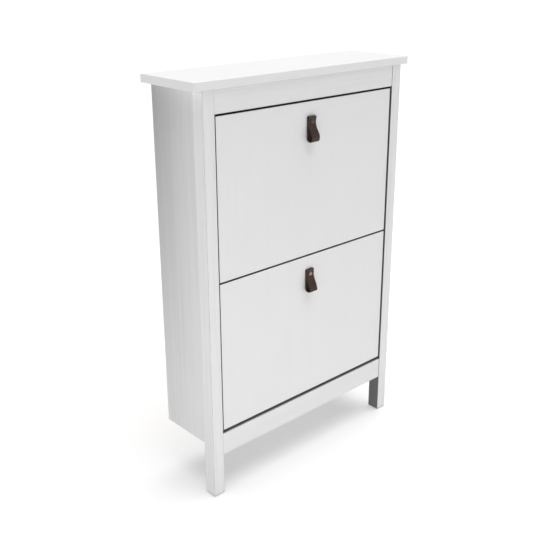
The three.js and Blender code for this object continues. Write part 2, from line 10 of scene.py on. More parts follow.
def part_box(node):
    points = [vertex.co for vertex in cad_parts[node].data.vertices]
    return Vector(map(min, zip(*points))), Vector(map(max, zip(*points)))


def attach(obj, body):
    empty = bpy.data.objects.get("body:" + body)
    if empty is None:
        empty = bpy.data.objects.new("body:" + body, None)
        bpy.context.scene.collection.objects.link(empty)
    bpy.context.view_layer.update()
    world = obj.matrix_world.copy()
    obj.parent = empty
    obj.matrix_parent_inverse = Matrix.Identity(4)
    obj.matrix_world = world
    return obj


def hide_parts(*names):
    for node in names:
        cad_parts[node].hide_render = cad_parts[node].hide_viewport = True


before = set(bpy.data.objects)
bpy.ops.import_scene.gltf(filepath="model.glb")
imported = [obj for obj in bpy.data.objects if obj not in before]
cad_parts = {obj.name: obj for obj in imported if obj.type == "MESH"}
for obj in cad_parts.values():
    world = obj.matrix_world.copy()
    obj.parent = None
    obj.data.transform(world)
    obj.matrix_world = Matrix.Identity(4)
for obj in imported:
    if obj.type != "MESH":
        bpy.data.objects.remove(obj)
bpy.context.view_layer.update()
scene = bpy.context.scene

# ---------------------------------------------------------------------------- camera
# A standing person's eye, to the left of the cabinet and above it, looking down on its
# front-left post. A small shift of the lens brings the whole cabinet into the frame.

camera = bpy.data.objects.new("camera", bpy.data.cameras.new("camera"))
scene.collection.objects.link(camera)
camera.location = (-1.589, -1.674, 1.467)
CAMERA_TURN = math.radians(43.07)
CAMERA_TILT = math.radians(20.08)
camera.rotation_euler = (math.pi / 2 - CAMERA_TILT, 0, -CAMERA_TURN)
camera.data.lens = 52.9
camera.data.shift_y = -0.046
camera.data.clip_end = 60
scene.camera = camera

# ---------------------------------------------------------------------------- posts and front rails
# Two square posts of planed softwood run from the top board to the floor as the only legs, and
# two rails are dowelled between them. Satin white paint lets the grain show and is thin on the
# eased arrises. The posts' inner faces and the rails' edges are painted grey, as painted shade.


def graph_node(tree, kind, inputs=None, **settings):
    """A shader node with its settings, and its inputs set to values or joined to other sockets."""
    made = tree.nodes.new("ShaderNode" + kind)
    for key, value in settings.items():
        setattr(made, key, value)
    for socket, value in (inputs or {}).items():
        if isinstance(value, bpy.types.NodeSocket):
            tree.links.new(value, made.inputs[socket])
        else:
            made.inputs[socket].default_value = value
    return made


def start_finish(name, roughness, **even):
    """An empty material: its tree, its surface shader, and the object's own coordinates in metres."""
    material = bpy.data.materials.new(name)
    material.use_nodes = True
    tree = material.node_tree
    shader = tree.nodes["Principled BSDF"]
    shader.inputs["Roughness"].default_value = roughness
    for socket, value in even.items():
        shader.inputs[socket.replace("_", " ")].default_value = value
    return material, tree, shader, tree.nodes.new("ShaderNodeTexCoord").outputs["Object"]


def cloud(tree, where, scale, detail=3.0, roughness=0.5):
    """Noise from 0 to 1. The scale is in spots per metre, one number or one for each axis."""
    if not isinstance(scale, (int, float)):
        where = graph_node(tree, "Mapping", {"Vector": where, "Scale": scale}).outputs["Vector"]
        scale = 1.0
    inputs = {"Vector": where, "Scale": scale, "Detail": detail, "Roughness": roughness}
    return graph_node(tree, "TexNoise", inputs).outputs["Fac"]


def stretch(tree, value, low, high, out_low=0.0, out_high=1.0):
    """The part of a value from low to high, spread over out_low to out_high."""
    inputs = {"Value": value, "From Min": low, "From Max": high, "To Min": out_low, "To Max": out_high}
    return graph_node(tree, "MapRange", inputs).outputs["Result"]


def tint(tree, share, first, second):
    """Colour that goes from first to second as share goes from 0 to 1."""
    mix = graph_node(tree, "Mix", {"Factor": share}, data_type="RGBA")
    for socket, colour in ((mix.inputs[6], first), (mix.inputs[7], second)):
        if isinstance(colour, bpy.types.NodeSocket):
            tree.links.new(colour, socket)
        else:
            socket.default_value = (*colour, 1)
    return mix.outputs[2]


def maths(tree, operation, first, second=0.0):
    """One sum on two sockets or numbers."""
    return graph_node(tree, "Math", {0: first, 1: second}, operation=operation).outputs[0]


def own_axes(tree, direction):
    """Sizes of a world direction along the piece's own three axes, which turn with the piece."""
    turned = graph_node(
        tree, "VectorTransform", {0: direction},
        vector_type="NORMAL", convert_from="WORLD", convert_to="OBJECT",
    ).outputs[0]
    return graph_node(tree, "SeparateXYZ", {0: turned}).outputs


def square_arris(tree, reach):
    """1 along the edges of squared timber and 0 on its flats, where the smoothed normal leans."""
    smooth = graph_node(tree, "Bevel", {"Radius": reach}, samples=6).outputs["Normal"]
    x, y, z = (maths(tree, "ABSOLUTE", part) for part in own_axes(tree, smooth))
    return stretch(tree, maths(tree, "MAXIMUM", maths(tree, "MAXIMUM", x, y), z), 0.995, 0.86)


def painted_gap_shade(tree, reach=0.02):
    """1 deep in a narrow gap and 0 on open faces, where painted shade greys the paint."""
    open_share = graph_node(tree, "AmbientOcclusion", {"Distance": reach}, samples=8).outputs["AO"]
    return stretch(tree, open_share, 0.68, 0.22)


def relief(tree, shader, height, depth, strength=1.0):
    """Raises the surface by a height from 0 to 1 times depth, in metres."""
    bump = graph_node(tree, "Bump", {"Height": height, "Distance": depth, "Strength": strength})
    tree.links.new(bump.outputs["Normal"], shader.inputs["Normal"])


def painted_shade_inside(tree):
    """1 on faces that look towards the middle of the cabinet, which get a painted shade of dark grey."""
    across = own_axes(tree, tree.nodes.new("ShaderNodeNewGeometry").outputs["Normal"])[0]
    place = tree.nodes.new("ShaderNodeTexCoord").outputs["Object"]
    from_middle = graph_node(tree, "SeparateXYZ", {0: place}).outputs[0]
    return stretch(tree, maths(tree, "MULTIPLY", across, from_middle), -0.2, -0.3)


def painted_shade_along(axes):
    """1 on faces square to one of these axes: a panel's narrow edges, which get painted shade."""
    def share(tree):
        parts = own_axes(tree, tree.nodes.new("ShaderNodeNewGeometry").outputs["Normal"])
        sizes = [maths(tree, "ABSOLUTE", parts["XYZ".index(axis)]) for axis in axes]
        return stretch(tree, maths(tree, "MAXIMUM", sizes[0], sizes[-1]), 0.8, 0.97)
    return share


# Painted shade: dark grey on the posts' inner faces, grey on panel edges, darker grey deep in gaps.
POST_INNER_SHADE = (0.115, 0.115, 0.113)
EDGE_SHADE_GREY = (0.50, 0.50, 0.495)
GAP_SHADE_GREY = (0.10, 0.10, 0.098)
GROWTH_LINES = (70, 1.7)  # per metre across the grain, and along it
FIBRE_LINES = (420, 9)
PATCHES = 5.5
ARRIS_REACH = 0.0028


def painted_wood(
    name, paint, shade, grain, show=0.5, worn=0.4, shaded_faces=None, shaded_tone=EDGE_SHADE_GREY, shade_gradient=None,
):
    """Satin paint on softwood: grain lines along one axis, worn arrises, and painted shade on chosen faces and
    in gaps.
    """
    material, tree, shader, where = start_finish(name, 0.45, Coat_Weight=0.08, Coat_Roughness=0.3)

    def running(lines):
        across, along = lines
        return [along if axis == grain else across for axis in "XYZ"]

    growth = cloud(tree, where, running(GROWTH_LINES), detail=5, roughness=0.62)
    fibre = cloud(tree, where, running(FIBRE_LINES), detail=3, roughness=0.6)
    patch = cloud(tree, where, PATCHES, detail=2)
    grain_share = stretch(tree, growth, 0.46, 0.7, 0, show)
    colour = tint(tree, grain_share, paint, shade)
    colour = tint(tree, stretch(tree, fibre, 0.5, 0.75, 0, 0.35 * show), colour, shade)
    colour = tint(tree, stretch(tree, patch, 0.35, 0.7, 0, 0.25), colour, [0.94 * c for c in paint])
    # Painted shade: darker towards the wall, where a side panel asks for it.
    if shade_gradient:
        colour = tint(tree, shade_gradient(tree, where), colour, [0.6 * c for c in shade])
    # Painted shade: grey on the chosen faces.
    if shaded_faces:
        colour = tint(tree, shaded_faces(tree), colour, shaded_tone)
    rub = stretch(tree, cloud(tree, where, 60, detail=4), 0.35, 0.65, 0.6 * worn, worn)
    thin_film = maths(tree, "MULTIPLY", square_arris(tree, ARRIS_REACH), rub)
    colour = tint(tree, thin_film, colour, [0.55 * c for c in shade])
    # Painted shade: dark grey deep in narrow gaps and under overhangs.
    colour = tint(tree, painted_gap_shade(tree), colour, GAP_SHADE_GREY)
    tree.links.new(colour, shader.inputs["Base Color"])
    tree.links.new(stretch(tree, fibre, 0.3, 0.7, 0.4, 0.54), shader.inputs["Roughness"])
    relief(tree, shader, maths(tree, "ADD", growth, fibre), 0.00018, 0.6)
    return material


def dress(names, material, edge=0.0, rounds=3):
    """Gives CAD nodes their finish, and rounds their sharp edges by a radius in metres."""
    for name in names:
        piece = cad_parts[name]
        piece.material_slots[0].material = material
        if not edge:
            continue
        piece.modifiers.new("joined corners", "WELD").merge_threshold = 2e-5
        flats = piece.modifiers.new("whole faces", "DECIMATE")
        flats.decimate_type = "DISSOLVE"
        flats.angle_limit = math.radians(2)
        easing = piece.modifiers.new("eased edges", "BEVEL")
        easing.width = edge
        easing.segments = rounds
        easing.limit_method = "ANGLE"
        easing.angle_limit = math.radians(40)
        easing.harden_normals = True
        piece.modifiers.new("true flats", "WEIGHTED_NORMAL").keep_sharp = True


FRAME_WHITE = (0.755, 0.755, 0.752)
FRAME_SHADE = (0.63, 0.63, 0.626)
post_paint = painted_wood(
    "post_paint", FRAME_WHITE, FRAME_SHADE, "Z", 0.55, 0.95, painted_shade_inside, POST_INNER_SHADE,
)
rail_paint = painted_wood("rail_paint", FRAME_WHITE, FRAME_SHADE, "X", 0.35, 0.3, painted_shade_along("Z"))
dress(["left_front_post", "right_front_post"], post_paint, 0.0012)
dress(["top_front_rail", "bottom_front_rail"], rail_paint, 0.0008)

# ---------------------------------------------------------------------------- side panels
# Edge-glued softwood boards, set in a little from the outside of the posts. They take the
# same paint, with painted shade that greys it towards the wall, most of all under the top board.


def painted_wall_shade(tree, where):
    """How far painted shade greys the paint: 1 in the top corner by the wall, less to the front and the foot.
    """
    _, depth, height = graph_node(tree, "SeparateXYZ", {0: where}).outputs
    low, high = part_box("left_side_panel")
    back = stretch(tree, depth, low.y - 0.02, high.y, 0.05, 1.0)
    return maths(tree, "MULTIPLY", back, stretch(tree, height, low.z, high.z, 0.15, 1))


side_paint = painted_wood(
    "side_paint", (0.73, 0.73, 0.728), (0.58, 0.58, 0.577), "Z", 0.45, 0.3, shade_gradient=painted_wall_shade,
)
dress(["left_side_panel", "right_side_panel"], side_paint, 0.0008)

# ---------------------------------------------------------------------------- top board
# One wide glued-up board with square edges, which overhangs the posts at the sides and the
# front. Its top face has the whitest and finest finish, and its edges are painted duller: painted
# light on the top and painted shade on the edges.

# Painted light and shade: the top face is whiter than the edges.
TOP_EDGE_SHADE = (0.76, 0.76, 0.757)
top_paint = painted_wood(
    "top_paint", (0.86, 0.86, 0.857), (0.78, 0.78, 0.776), "X", 0.25, 0.15, painted_shade_along("XY"), TOP_EDGE_SHADE,
)
dress(["top_board"], top_paint, 0.0011)

# ---------------------------------------------------------------------------- bottom board
# A thin board notched round the posts closes the carcass underneath, so that dust and light
# stay out of the buckets. It is fitted between the side panels, and is only primed.

board_primer = painted_wood("board_primer", (0.52, 0.52, 0.515), (0.42, 0.42, 0.415), "X", 0.4)
dress(["bottom_board"], board_primer, 0.0006)

# ---------------------------------------------------------------------------- back frame
# Three softwood rails stiffen the back, and the top one takes the wall screws. Behind them
# a sheet of hardboard, white on the inside and raw brown fibre outside, squares the carcass.


def hardboard(name, white_side, thickness_axis):
    """White-faced hardboard: smooth melamine on its faces and raw brown fibre on the cut edges."""
    material, tree, shader, where = start_finish(name, 0.5)
    side = tree.nodes.new("ShaderNodeTexCoord").outputs["Normal"]
    parts = graph_node(tree, "SeparateXYZ", {0: side}).outputs
    facing = parts["XYZ".index(thickness_axis)]
    if white_side:
        face = stretch(tree, facing, white_side * 0.6, white_side * 0.8)
    else:
        face = stretch(tree, maths(tree, "ABSOLUTE", facing), 0.6, 0.8)
    fibre = cloud(tree, where, 900, detail=5, roughness=0.7)
    blotch = cloud(tree, where, 12, detail=5, roughness=0.6)
    pressed = cloud(tree, where, 260, detail=3)
    brown = tint(tree, stretch(tree, fibre, 0.35, 0.65), (0.22, 0.13, 0.07), (0.36, 0.235, 0.14))
    brown = tint(tree, stretch(tree, pressed, 0.45, 0.75, 0, 0.5), brown, (0.17, 0.1, 0.055))
    brown = tint(tree, stretch(tree, blotch, 0.4, 0.7, 0, 0.22), brown, (0.19, 0.115, 0.065))
    white = tint(tree, stretch(tree, blotch, 0.3, 0.7), (0.80, 0.795, 0.775), (0.76, 0.755, 0.735))
    tree.links.new(tint(tree, face, brown, white), shader.inputs["Base Color"])
    tree.links.new(stretch(tree, face, 0, 1, 0.85, 0.42), shader.inputs["Roughness"])
    relief(tree, shader, fibre, 0.00012, 0.5)
    return material


dress(["upper_back_rail", "middle_back_rail", "lower_back_rail"], rail_paint, 0.001)
dress(["back_panel"], hardboard("back_hardboard", -1, "Y"), 0.0003, 1)

# ---------------------------------------------------------------------------- panel pins
# Flat-headed steel pins, plated with zinc, hold the hardboard to its frame. They are driven
# flush all round the sheet and across the middle rail.


def worn_metal(name, bright, dull, roughness):
    """Plated metal: a slightly uneven film, fine scratches, and duller patches where it was handled."""
    material, tree, shader, where = start_finish(name, roughness, Metallic=1.0)
    patch = cloud(tree, where, 160, detail=4)
    scratch = cloud(tree, where, [2600, 240, 2600], detail=2)
    tree.links.new(tint(tree, stretch(tree, patch, 0.35, 0.7), bright, dull), shader.inputs["Base Color"])
    wear = maths(tree, "ADD", patch, scratch)
    rough = stretch(tree, wear, 0.7, 1.3, roughness - 0.1, roughness + 0.14)
    tree.links.new(rough, shader.inputs["Roughness"])
    relief(tree, shader, scratch, 0.00002, 0.5)
    return material


zinc = worn_metal("zinc_plate", (0.62, 0.64, 0.66), (0.47, 0.48, 0.50), 0.34)


def middle(name):
    """The middle of a CAD node's box."""
    low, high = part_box(name)
    return (low + high) / 2


PIN_HEAD = {"radius": 0.0026, "flat_share": 0.7, "bevel": 0.00015, "proud": 0.0002, "depth": 0.002}
PIN_SIDES = 16
PINS_FROM_EDGE = 0.008
PIN_SPACING = 0.115


def panel_pins(name):
    """All the pins as one mesh: up both sides of the sheet, and along its foot, middle rail and head."""
    low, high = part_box("back_panel")
    left, right = low.x + PINS_FROM_EDGE, high.x - PINS_FROM_EDGE
    foot, head = low.z + PINS_FROM_EDGE, high.z - PINS_FROM_EDGE
    rail = middle("middle_back_rail").z
    steps_up = round((head - foot) / PIN_SPACING)
    steps_across = round((right - left) / PIN_SPACING)
    heights = [foot + (head - foot) * i / steps_up for i in range(1, steps_up)]
    columns = [left + (right - left) * i / steps_across for i in range(steps_across + 1)]
    places = [(x, z) for x in (left, right) for z in heights]
    places += [(x, z) for z in (foot, rail, head) for x in columns]
    top = high.y + PIN_HEAD["proud"]
    profile = (
        (PIN_HEAD["flat_share"], top),
        (1.0, top - PIN_HEAD["bevel"]),
        (1.0, top - PIN_HEAD["depth"]),
    )
    angles = [2 * math.pi * k / PIN_SIDES for k in range(PIN_SIDES)]
    pins = bmesh.new()
    for x, z in places:
        rings = []
        for share, y in profile:
            size = share * PIN_HEAD["radius"]
            ring = [(x + size * math.cos(a), y, z + size * math.sin(a)) for a in angles]
            rings.append([pins.verts.new(corner) for corner in ring])
        pins.faces.new(rings[0])
        pins.faces.new(list(reversed(rings[-1])))
        for first, second in zip(rings, rings[1:]):
            for k in range(PIN_SIDES):
                pins.faces.new((first[k], first[k - 1], second[k - 1], second[k]))
    bmesh.ops.recalc_face_normals(pins, faces=pins.faces[:])
    mesh = bpy.data.meshes.new(name)
    pins.to_mesh(mesh)
    pins.free()
    piece = bpy.data.objects.new(name, mesh)
    scene.collection.objects.link(piece)
    return piece


pins = panel_pins("back_panel_pins")
pins.data.materials.append(zinc)
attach(pins, "carcass")

# ---------------------------------------------------------------------------- dowels and foot glides
# Beech dowels are glued into the joints between rails and posts, out of sight. A nylon glide
# sits under each post, so that it slides and stays off a wet floor.

beech, tree, shader, where = start_finish("raw_beech", 0.7)
fleck = cloud(tree, where, [60, 900, 900], detail=4)
tree.links.new(tint(tree, fleck, (0.62, 0.43, 0.24), (0.74, 0.56, 0.36)), shader.inputs["Base Color"])
relief(tree, shader, fleck, 0.0001)
dress([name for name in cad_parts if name.endswith("_dowel")], beech, 0.0005, 2)


def arris(tree, reach):
    """1 on the edges of any shape and 0 on its flats, from how far the smoothed normal leans away."""
    smooth = graph_node(tree, "Bevel", {"Radius": reach}, samples=6).outputs["Normal"]
    true = tree.nodes.new("ShaderNodeNewGeometry").outputs["Normal"]
    lean = graph_node(tree, "VectorMath", {0: smooth, 1: true}, operation="DOT_PRODUCT").outputs["Value"]
    return stretch(tree, lean, 0.99, 0.8)


def moulded_plastic(name, colour, roughness, grain_size):
    """Moulded thermoplastic: a spark-eroded texture, slight flow marks, and rubbed edges."""
    material, tree, shader, where = start_finish(name, roughness, Subsurface_Weight=0.04)
    spark = cloud(tree, where, grain_size, detail=2)
    flow = cloud(tree, where, [9, 14, 5], detail=4)
    body = tint(tree, stretch(tree, flow, 0.3, 0.7), colour, [0.93 * c for c in colour])
    rubbed = maths(tree, "MULTIPLY", arris(tree, 0.001), 0.4)
    tree.links.new(tint(tree, rubbed, body, [min(1, 1.12 * c) for c in colour]), shader.inputs["Base Color"])
    rough = stretch(tree, spark, 0.3, 0.7, roughness - 0.07, roughness + 0.07)
    tree.links.new(rough, shader.inputs["Roughness"])
    relief(tree, shader, spark, 0.00006, 0.5)
    return material


glide_nylon = moulded_plastic("glide_nylon", (0.62, 0.62, 0.60), 0.55, 1400)
dress(["left_foot_glide", "right_foot_glide"], glide_nylon, 0.0008, 2)

# ---------------------------------------------------------------------------- wall fixing plates
# Two zinc-plated steel plates, screwed to the front of the upper back rail. The wall screws
# go through them, the rail and the back panel.

dress(["left_wall_fixing_plate", "right_wall_fixing_plate"], zinc, 0.0004, 2)

# ---------------------------------------------------------------------------- pivot bushes and pins
# Nylon bushes with a flange are pressed into the posts, and a steel pin with a collar turns
# in each. The pin is pressed through the bucket plate, so the whole flap hangs on the pair.


def shown_piece(name, mesh, material, body, stands_for):
    """A finished mesh that rides on a body and is shown in place of a CAD node."""
    piece = bpy.data.objects.new(name, mesh)
    scene.collection.objects.link(piece)
    mesh.materials.append(material)
    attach(piece, body)
    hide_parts(stands_for)
    return piece


def turn(name, profile, start, axis, sides=40):
    """A turned mesh. The profile is (radius, distance along the axis) pairs in metres, from start."""
    along = Vector(axis)
    across = along.orthogonal().normalized()
    mesh = bmesh.new()
    for (r0, s0), (r1, s1) in zip(profile, profile[1:]):
        ends = [mesh.verts.new(Vector(start) + along * s + across * r) for r, s in ((r0, s0), (r1, s1))]
        mesh.edges.new(ends)
    bmesh.ops.spin(
        mesh, geom=mesh.verts[:] + mesh.edges[:], cent=Vector(start), axis=along,
        angle=2 * math.pi, steps=sides, use_duplicate=False,
    )
    bmesh.ops.remove_doubles(mesh, verts=mesh.verts[:], dist=1e-6)
    bmesh.ops.dissolve_degenerate(mesh, edges=mesh.edges[:], dist=1e-7)
    bmesh.ops.recalc_face_normals(mesh, faces=mesh.faces[:])
    made = bpy.data.meshes.new(name)
    mesh.to_mesh(made)
    mesh.free()
    made.shade_smooth()
    made.set_sharp_from_angle(angle=math.radians(35))
    return made


BUSH = {"bore": 0.0044, "body": 0.006, "flange": 0.0085, "lip": 0.0015}
PIVOT = {"radius": 0.004, "point": 0.001, "collar": 0.0065, "collar_from": 0.0053, "collar_to": 0.0069}
EDGE = 0.0004  # the chamfer on the turned bushes, pins and nuts
bush_nylon = moulded_plastic("bush_nylon", (0.70, 0.70, 0.67), 0.42, 1800)
LEVELS = ("lower", "upper")
SIDES = {"left": -1, "right": 1}

for level in LEVELS:
    for side, out in SIDES.items():
        node = f"{side}_{level}_pivot_bush"
        low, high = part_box(node)
        length = high.x - low.x
        centre = middle(node)
        start = (low.x if out > 0 else high.x, centre.y, centre.z)
        bore, body, flange, lip = BUSH["bore"], BUSH["body"], BUSH["flange"], BUSH["lip"]
        bush = [
            (bore, EDGE), (bore + EDGE, 0), (flange - EDGE, 0), (flange, EDGE), (flange, lip),
            (body, lip), (body, length - EDGE), (body - EDGE, length), (bore, length), (bore, EDGE),
        ]
        mesh = turn(f"{node}_turned", bush, start, (out, 0, 0))
        shown_piece(f"{node}_turned", mesh, bush_nylon, "carcass", node)

        node = f"{side}_{level}_pivot_pin"
        low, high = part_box(node)
        length = high.x - low.x
        start = (low.x if out > 0 else high.x, centre.y, centre.z)
        rod, point, collar = PIVOT["radius"], PIVOT["point"], PIVOT["collar"]
        near, far = PIVOT["collar_from"], PIVOT["collar_to"]
        pin = [
            (0, 0), (rod - EDGE, 0), (rod, EDGE), (rod, near), (collar - EDGE, near),
            (collar, near + EDGE), (collar, far - EDGE), (collar - EDGE, far), (rod, far),
            (rod, length - point), (rod - point, length), (0, length),
        ]
        mesh = turn(f"{node}_turned", pin, start, (out, 0, 0))
        shown_piece(f"{node}_turned", mesh, zinc, f"{level}_flap", node)

# ---------------------------------------------------------------------------- guide pins
# A shouldered steel pin is pressed into each side panel and stands out into an arc slot in
# the bucket plate. The slot's two ends stop the flap when it is shut and when it is open.

GUIDE = {"radius": 0.004, "point": 0.0008, "shoulder": 0.007, "shoulder_length": 0.002, "tail": 0.0113}

for level in LEVELS:
    for side, out in SIDES.items():
        node = f"{side}_{level}_guide_pin"
        low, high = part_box(node)
        centre = middle(node)
        length = high.x - low.x
        start = (low.x if out > 0 else high.x, centre.y, centre.z)
        step = length - GUIDE["tail"]
        rod, point, wide = GUIDE["radius"], GUIDE["point"], GUIDE["shoulder"]
        seat = step + GUIDE["shoulder_length"]
        guide = [
            (0, 0), (rod - point, 0), (rod, point), (rod, step), (wide - EDGE, step), (wide, step + EDGE),
            (wide, seat), (rod, seat), (rod, length - EDGE), (rod - EDGE, length), (0, length),
        ]
        mesh = turn(f"{node}_turned", guide, start, (out, 0, 0))
        shown_piece(f"{node}_turned", mesh, zinc, "carcass", node)

# ---------------------------------------------------------------------------- flaps
# Each flap is one panel of board with a smooth sprayed front, and its edges are painted grey as
# painted shade. It hangs between the posts with a narrow gap all round, and lies a little behind their faces.

flap_paint = painted_wood(
    "flap_paint", (0.76, 0.76, 0.76), (0.72, 0.72, 0.72), "Z", 0.3, 0.3, painted_shade_along("XZ"),
)
dress(["lower_flap", "upper_flap"], flap_paint, 0.0009)

# ---------------------------------------------------------------------------- bucket plates and boards
# Two moulded plates carry each bucket. Their screw flanges lie on the back of the flap, and
# four thin boards slide into grooves between their ribs to make two rows of pockets.

plate_plastic = moulded_plastic("plate_plastic", (0.72, 0.72, 0.71), 0.48, 1100)
thin_board = hardboard("thin_board", 0, "Y")
floor_board = hardboard("floor_board", 0, "Z")
for level in LEVELS:
    dress([f"left_{level}_bucket_plate", f"right_{level}_bucket_plate"], plate_plastic, 0.0004, 2)
    dress([f"{level}_divider", f"{level}_rear_board"], thin_board, 0.0003, 1)
    dress([f"{level}_front_floor", f"{level}_rear_floor"], floor_board, 0.0003, 1)

# ---------------------------------------------------------------------------- plate screws
# Pan-head chipboard screws with a cross recess, of zinc-plated steel. Two in each bucket plate
# hold its flange to the back of the flap.

SCREW = {"shank": 0.0016, "head": 0.0036, "rise": 0.0022, "length": 0.014, "point": 0.003}
PAN = ((0.6, 0), (0.85, 0.25), (1, 0.6), (1, 1))  # shares of the head's radius and of its rise
CROSS = {"reach": 0.0019, "width": 0.0007, "depth": 0.0012}


def cut_cross(mesh, centre):
    """Cuts a cross recess into the screw head whose outer side is at centre."""
    cutter = bmesh.new()
    for turn_by in (0, math.pi / 2):
        arm = bmesh.ops.create_cube(cutter, size=1)["verts"]
        size = Matrix.Diagonal((2 * CROSS["reach"], 2 * CROSS["depth"], CROSS["width"], 1))
        bmesh.ops.transform(cutter, matrix=Matrix.Rotation(turn_by, 4, "Y") @ size, verts=arm)
    bmesh.ops.translate(cutter, vec=Vector(centre), verts=cutter.verts[:])
    tool_mesh = bpy.data.meshes.new("cross")
    cutter.to_mesh(tool_mesh)
    cutter.free()
    tool = bpy.data.objects.new("cross", tool_mesh)
    blank = bpy.data.objects.new("blank", mesh)
    for made in (tool, blank):
        scene.collection.objects.link(made)
    cutting = blank.modifiers.new("cross", "BOOLEAN")
    cutting.object = tool
    cutting.operation = "DIFFERENCE"
    cutting.use_self = True
    cut = bpy.data.meshes.new_from_object(blank.evaluated_get(bpy.context.evaluated_depsgraph_get()))
    for made in (tool, blank):
        bpy.data.objects.remove(made)
    cut.set_sharp_from_angle(angle=math.radians(35))
    return cut


for level in LEVELS:
    for side in SIDES:
        for row in ("low", "high"):
            node = f"{side}_{level}_{row}_plate_screw"
            low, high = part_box(node)
            centre = middle(node)
            head, rise, shank = SCREW["head"], SCREW["rise"], SCREW["shank"]
            tip = rise + SCREW["length"]
            screw = [(0, 0), *((share * head, drop * rise) for share, drop in PAN)]
            screw += [(shank, rise), (shank, tip - SCREW["point"]), (0, tip)]
            outside = (centre.x, high.y, centre.z)
            mesh = turn(f"{node}_turned", screw, outside, (0, -1, 0), sides=28)
            mesh = cut_cross(mesh, outside)
            mesh.name = f"{node}_turned"
            shown_piece(f"{node}_turned", mesh, zinc, f"{level}_flap", node)

# ---------------------------------------------------------------------------- leather pulls
# A strap of dark saddle leather is folded into a drop-shaped loop, its two ends clamped flat on
# the flap by one screw into a sleeve nut. Its edges are rounded and burnished, with a line creased
# along each, and the copper-plated screw head has pressed a shallow dish into it.

STRAP = {"width": 0.030, "thickness": 0.0028, "above_screw": 0.014, "depth": 0.019}
SEAM = 0.0003
BACK_LEAF = SEAM + STRAP["thickness"] / 2
FRONT_LEAF = BACK_LEAF + STRAP["thickness"] + SEAM
SWELL = BACK_LEAF + STRAP["depth"]
LOOPS = {
    "lower": {"drop": 0.0520, "widest": 0.90, "belly": 0.70, "flare": 0.0002},
    "upper": {"drop": 0.0540, "widest": 0.80, "belly": 0.80, "flare": 0.0026},
}


LOOP_STEPS = 8


def between(a, b, c, d, t):
    """The point that is the share t of the way from b to c, on a smooth curve through all four."""
    square = 2 * a - 5 * b + 4 * c - d
    cube = 3 * b - a - 3 * c + d
    return 0.5 * (2 * b + (c - a) * t + square * t ** 2 + cube * t ** 3)


def loop_line(drop, widest, belly, flare):
    """Middle line of the folded strap, as (out from the flap, up from the screw) pairs in metres.
    The front leaf swells to its widest at a share of the drop, and has swollen by the share
    belly a little above that; the cut end above the screw stands off the back leaf by flare."""
    swell = SWELL - FRONT_LEAF
    marks = [
        (BACK_LEAF, STRAP["above_screw"]),
        (BACK_LEAF, -0.012),
        (BACK_LEAF + 0.0003, -0.55 * drop),
        (BACK_LEAF + 0.0012, -0.86 * drop),
        (BACK_LEAF + 0.0046, -drop),
        (SWELL - 0.0034, -drop + 0.0004),
        (SWELL, -widest * drop),
        (FRONT_LEAF + belly * swell, -0.61 * drop),
        (FRONT_LEAF + 0.23 * swell, -0.34 * drop),
        (FRONT_LEAF + 0.0003, -0.16 * drop),
        (FRONT_LEAF, 0),
        (FRONT_LEAF + flare, STRAP["above_screw"]),
    ]
    line = []
    padded = [marks[0], *marks, marks[-1]]
    for before, here, there, after in zip(padded, padded[1:], padded[2:], padded[3:]):
        for step in range(LOOP_STEPS):
            t = step / LOOP_STEPS
            line.append(Vector([between(*four, t) for four in zip(before, here, there, after)]))
    line.append(Vector(marks[-1]))
    return line


CREASE = {"from_edge": 0.0030, "half_width": 0.0005, "depth": 0.00035}
FLAT_STEPS = 16
EDGE_STEPS = 6


def strap_section():
    """Outline across the strap, as (across, through) pairs in metres, with burnished round edges
    and, on the grain side, a line creased along each edge."""
    half, thick = STRAP["width"] / 2, STRAP["thickness"] / 2
    flat = [(half - thick) * (2 * i / FLAT_STEPS - 1) for i in range(FLAT_STEPS + 1)]
    line = half - CREASE["from_edge"]
    pressed = {side * (line + by * CREASE["half_width"]): by == 0 for side in (-1, 1) for by in (-1, 0, 1)}
    clear = [x for x in flat if abs(abs(x) - line) > 1.5 * CREASE["half_width"]]
    across = sorted([*clear, *pressed], reverse=True)
    grain_side = [(x, -thick + (CREASE["depth"] if pressed.get(x) else 0)) for x in across]
    edge = [math.pi / 2 - math.pi * i / EDGE_STEPS for i in range(1, EDGE_STEPS)]
    right = [(half - thick + thick * math.cos(a), thick * math.sin(a)) for a in edge]
    left = [(-x, -y) for x, y in right]
    return [(x, thick) for x in flat] + right + grain_side + left


CUT_END = (0.8, 0.95)  # share of the thickness at the first two rows from each cut end
RIPPLE = {"across": 90, "along": 0.21, "depth": 0.00022}
PORES = {"across": 520, "along": 1.1, "depth": 0.00006}
EDGE_WAVE = {"along": 0.33, "share": 0.012}
DISH = {"radius": 0.0075, "depth": 0.0005}


def unevenness(kind, across, row, seed):
    """How far the leather stands off its true face at one spot, in metres."""
    return noise.noise(Vector((across * kind["across"], row * kind["along"], seed))) * kind["depth"]


